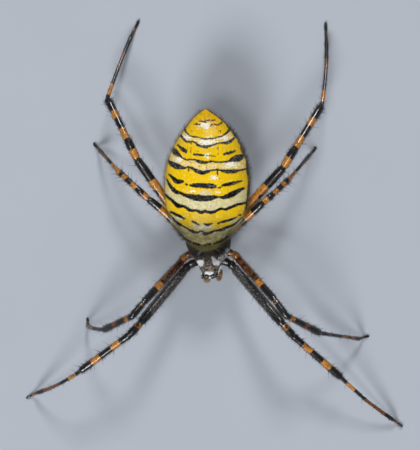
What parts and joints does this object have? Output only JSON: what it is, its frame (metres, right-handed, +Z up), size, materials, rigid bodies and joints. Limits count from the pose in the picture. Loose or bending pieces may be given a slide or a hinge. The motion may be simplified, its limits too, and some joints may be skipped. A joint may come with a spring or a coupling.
{
  "type": "banded garden spider",
  "caption": "Still life-size female banded garden spider standing on its toes, with a pointed black, yellow and cream banded abdomen and long ringed legs.",
  "frame": {"origin": "centre of the footprint, on the floor that the toes stand on", "axes": "+Z up, out of the back; -Y toward the head; +X toward the spider's own left"},
  "size_m": [0.0436, 0.047, 0.0117],
  "materials": {
    "abdomen_hide": "satin hide, chrome yellow and cream bands with black ripple lines and fine grey hairs",
    "carapace_shield": "dark shield under flat silver hair",
    "dark_shell": "glossy brown-black shell",
    "leg_shell": "satin shell ringed in black and orange-brown, with fine hairs and black spines",
    "claw_horn": "polished black-brown horn",
    "eye_lens": "polished black lens"
  },
  "bodies": {
    "root": {"abdomen": "abdomen_hide", "spinnerets": "dark_shell", "pedicel": "dark_shell", "carapace": "carapace_shield", "sternum": "dark_shell", "mouthparts": "dark_shell", "left_chelicera": "dark_shell", "left_fang": "claw_horn", "left_palp": "leg_shell", "right_chelicera": "dark_shell", "right_fang": "claw_horn", "right_palp": "leg_shell", "eye_front_middle_left": "eye_lens", "eye_front_middle_right": "eye_lens", "eye_rear_middle_left": "eye_lens", "eye_rear_middle_right": "eye_lens", "eye_front_side_left": "eye_lens", "eye_front_side_right": "eye_lens", "eye_rear_side_left": "eye_lens", "eye_rear_side_right": "eye_lens", "left_leg_1_coxa": "leg_shell", "left_leg_1_femur": "leg_shell", "left_leg_1_patella": "leg_shell", "left_leg_1_tibia": "leg_shell", "left_leg_1_foot": "leg_shell", "left_leg_2_coxa": "leg_shell", "left_leg_2_femur": "leg_shell", "left_leg_2_patella": "leg_shell", "left_leg_2_tibia": "leg_shell", "left_leg_2_foot": "leg_shell", "left_leg_3_coxa": "leg_shell", "left_leg_3_femur": "leg_shell", "left_leg_3_patella": "leg_shell", "left_leg_3_tibia": "leg_shell", "left_leg_3_foot": "leg_shell", "left_leg_4_coxa": "leg_shell", "left_leg_4_femur": "leg_shell", "left_leg_4_patella": "leg_shell", "left_leg_4_tibia": "leg_shell", "left_leg_4_foot": "leg_shell", "right_leg_1_coxa": "leg_shell", "right_leg_1_femur": "leg_shell", "right_leg_1_patella": "leg_shell", "right_leg_1_tibia": "leg_shell", "right_leg_1_foot": "leg_shell", "right_leg_2_coxa": "leg_shell", "right_leg_2_femur": "leg_shell", "right_leg_2_patella": "leg_shell", "right_leg_2_tibia": "leg_shell", "right_leg_2_foot": "leg_shell", "right_leg_3_coxa": "leg_shell", "right_leg_3_femur": "leg_shell", "right_leg_3_patella": "leg_shell", "right_leg_3_tibia": "leg_shell", "right_leg_3_foot": "leg_shell", "right_leg_4_coxa": "leg_shell", "right_leg_4_femur": "leg_shell", "right_leg_4_patella": "leg_shell", "right_leg_4_tibia": "leg_shell", "right_leg_4_foot": "leg_shell"}
  },
  "joints": []
}
